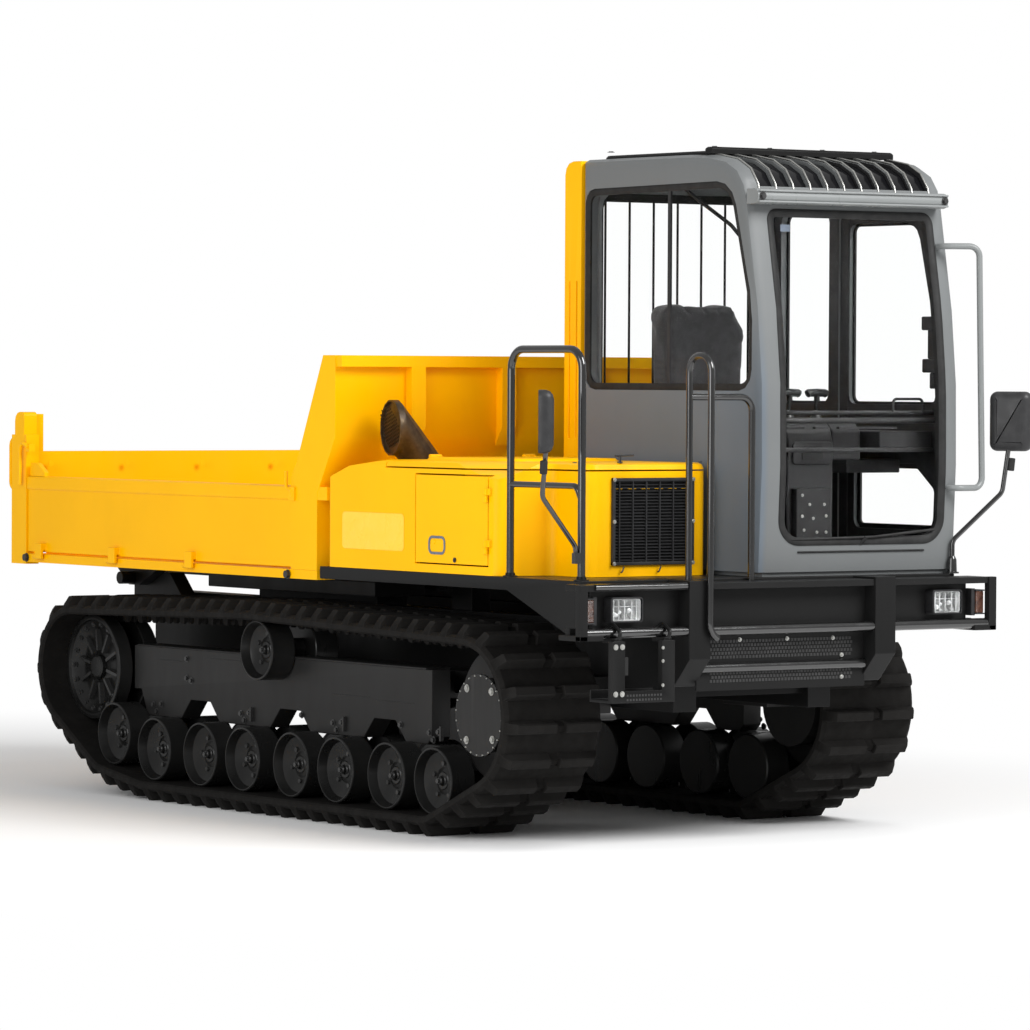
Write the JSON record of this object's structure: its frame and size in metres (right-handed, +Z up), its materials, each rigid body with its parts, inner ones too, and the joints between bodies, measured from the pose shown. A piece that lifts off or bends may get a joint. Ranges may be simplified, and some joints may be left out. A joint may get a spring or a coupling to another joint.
{
  "type": "tracked dumper",
  "caption": "Rubber-tracked carrier with a rear-tipping drop-side bed, an offset driver's cab, a side engine hood and a front bumper with lamps.",
  "frame": {"origin": "on the ground, under the middle of the machine's overall box", "axes": "+Z up; -Y is the driving direction (front); +X is the machine's left, the cab's side"},
  "size_m": [2.6516, 5.0009, 2.967],
  "materials": {
    "rubber": "matt black rubber with moulded lugs",
    "undercarriage_black": "black paint over cast and welded steel",
    "frame_black": "satin black paint",
    "bright_steel": "plain machined steel",
    "exhaust_brown": "heat-browned perforated sheet",
    "yellow_paint": "smooth yellow paint",
    "cab_grey": "satin mid-grey paint",
    "glass": "clear flat glass",
    "seat_cloth": "dark woven seat cloth",
    "lamp_clear": "clear lens over a bright reflector"
  },
  "bodies": {
    "chassis": {"track_right": "rubber", "track_left": "rubber", "side_frame_right": "undercarriage_black", "side_frame_left": "undercarriage_black", "sprocket_right": "undercarriage_black", "sprocket_left": "undercarriage_black", "idler_right": "undercarriage_black", "idler_left": "undercarriage_black", "bogie_right_1": "undercarriage_black", "bogie_right_2": "undercarriage_black", "bogie_right_3": "undercarriage_black", "bogie_right_4": "undercarriage_black", "bogie_left_1": "undercarriage_black", "bogie_left_2": "undercarriage_black", "bogie_left_3": "undercarriage_black", "bogie_left_4": "undercarriage_black", "main_frame": "frame_black", "deck": "frame_black", "side_box_right": "frame_black", "side_box_left": "frame_black", "bumper": "frame_black", "boarding_step": "frame_black", "handrail_corner": "frame_black", "handrail_centre": "frame_black", "mirror_right": "frame_black", "mirror_left": "frame_black", "rear_guard": "frame_black", "grille": "frame_black", "console": "frame_black", "seat_stand": "frame_black", "engine_block": "bright_steel", "exhaust": "exhaust_brown", "hood_shell": "yellow_paint", "rear_pillar": "yellow_paint", "cab_shell": "cab_grey", "cab_roof": "cab_grey", "visor_bar": "cab_grey", "grab_handle": "cab_grey", "windscreen": "glass", "window_right": "glass", "window_rear": "glass", "window_left": "glass", "roof_glass": "glass", "seat_cushion": "seat_cloth", "seat_back": "seat_cloth", "headlight_right": "lamp_clear", "headlight_left": "lamp_clear"},
    "bed": {"bed_floor": "yellow_paint", "headboard": "yellow_paint"},
    "side_board_right": {"side_board_right": "yellow_paint"},
    "side_board_left": {"side_board_left": "yellow_paint"},
    "tailgate": {"tailgate": "yellow_paint"},
    "hoist_barrel": {"hoist_barrel": "frame_black"},
    "hoist_rod": {"hoist_rod": "bright_steel"},
    "cab_door": {"cab_door": "cab_grey", "door_glass": "glass", "door_glass_low": "glass"},
    "hood_lid": {"hood_lid": "yellow_paint"},
    "hood_side_door": {"hood_side_door": "yellow_paint"}
  },
  "joints": [
    {"name": "bed_tip", "type": "hinge", "parent": "chassis", "child": "bed", "pos_m": [0, 1.945, 0.995], "axis": [-1, 0, 0], "range_deg": [0, 55]},
    {"name": "side_right_drop", "type": "hinge", "parent": "bed", "child": "side_board_right", "pos_m": [-1.012, 1.1, 1.095], "axis": [0, -1, 0], "range_deg": [0, 95]},
    {"name": "side_left_drop", "type": "hinge", "parent": "bed", "child": "side_board_left", "pos_m": [1.012, 1.1, 1.095], "axis": [0, 1, 0], "range_deg": [0, 95]},
    {"name": "tailgate_swing", "type": "hinge", "parent": "bed", "child": "tailgate", "pos_m": [0, 2.345, 1.74], "axis": [1, 0, 0], "range_deg": [0, 90]},
    {"name": "hoist_swing", "type": "hinge", "parent": "chassis", "child": "hoist_barrel", "pos_m": [0, 0.515, 0.68], "axis": [1, 0, 0], "range_deg": [0, 9.42]},
    {"name": "hoist_extend", "type": "slide", "parent": "hoist_barrel", "child": "hoist_rod", "axis": [0, 0.9643, 0.265], "range_m": [0, 0.2128]},
    {"name": "cab_door_swing", "type": "hinge", "parent": "chassis", "child": "cab_door", "pos_m": [1.053, -1.508, 1.9], "axis": [0, 0, 1], "range_deg": [0, 95]},
    {"name": "hood_lid_lift", "type": "hinge", "parent": "chassis", "child": "hood_lid", "pos_m": [-0.55, -0.858, 1.622], "axis": [-1, 0, 0], "range_deg": [0, 60]},
    {"name": "side_door_swing", "type": "hinge", "parent": "chassis", "child": "hood_side_door", "pos_m": [-1.011, -1.642, 1.35], "axis": [0, 0, 1], "range_deg": [0, 90]}
  ],
  "couplings": [
    {"joint": "hoist_swing", "follows": "bed_tip", "ratio": 0.17103},
    {"joint": "hoist_extend", "follows": "bed_tip", "m_per_rad": 0.22147}
  ]
}
